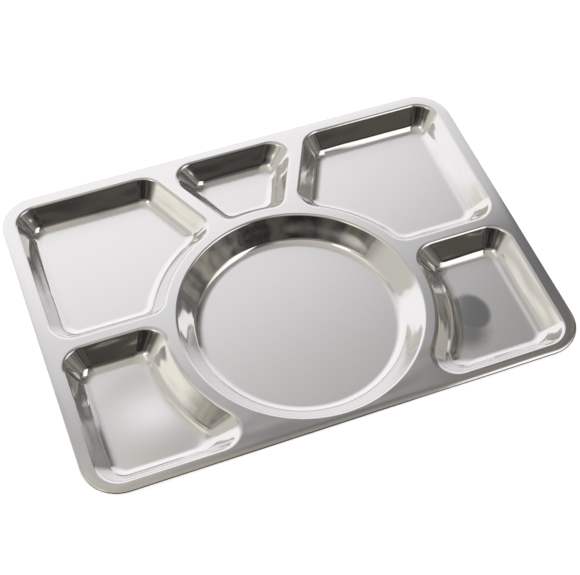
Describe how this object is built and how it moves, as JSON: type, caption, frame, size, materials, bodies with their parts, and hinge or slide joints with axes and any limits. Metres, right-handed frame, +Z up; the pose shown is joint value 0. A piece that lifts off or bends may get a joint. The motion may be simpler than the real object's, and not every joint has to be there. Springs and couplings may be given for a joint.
{
  "type": "divided compartment plate",
  "caption": "Rectangular pressed steel mess tray with a round bowl and smaller wells around it, and a rolled edge, for serving a whole meal.",
  "frame": {"origin": "middle of the tray's outline, on the surface it stands on, which is the underside of the floors", "axes": "+X along the long side, to the right as a person eats from it; +Y to the back, away from the round bowl's side; +Z up"},
  "size_m": [0.4, 0.289, 0.0185],
  "materials": {
    "polished_steel": "bright polished stainless steel, almost a mirror, for the rim and the deck",
    "satin_steel": "stainless steel with polished walls and a soft satin floor"
  },
  "bodies": {
    "root": {"rolled_rim": "polished_steel", "deck": "polished_steel", "round_bowl": "satin_steel", "back_left_well": "satin_steel", "back_middle_well": "satin_steel", "back_right_well": "satin_steel", "front_left_well": "satin_steel", "front_right_well": "satin_steel"}
  },
  "joints": []
}
